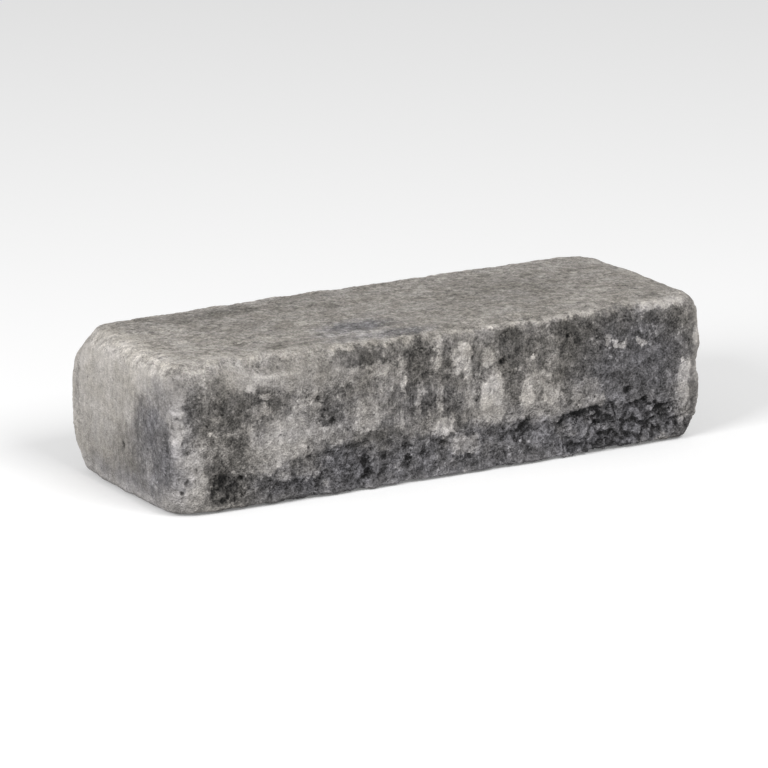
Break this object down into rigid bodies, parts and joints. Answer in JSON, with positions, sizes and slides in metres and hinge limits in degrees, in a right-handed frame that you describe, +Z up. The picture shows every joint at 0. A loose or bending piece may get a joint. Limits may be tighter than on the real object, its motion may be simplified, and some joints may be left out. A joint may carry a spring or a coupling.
{
  "type": "stacking block",
  "caption": "Solid oblong concrete walling block with flat beds and tumbled, worn edges and corners, stacked dry in bonded courses.",
  "frame": {"origin": "middle of the underside, on the surface that the block lies on", "axes": "+X along the block's length, -Y out of the long face that shows in a wall, +Z up from the bed that it lies on"},
  "size_m": [0.4, 0.15, 0.1],
  "materials": {
    "concrete": "tumbled concrete, worn pale on the arrises and stained dark grey on the face"
  },
  "bodies": {
    "root": {"stacking_block": "concrete"}
  },
  "joints": []
}
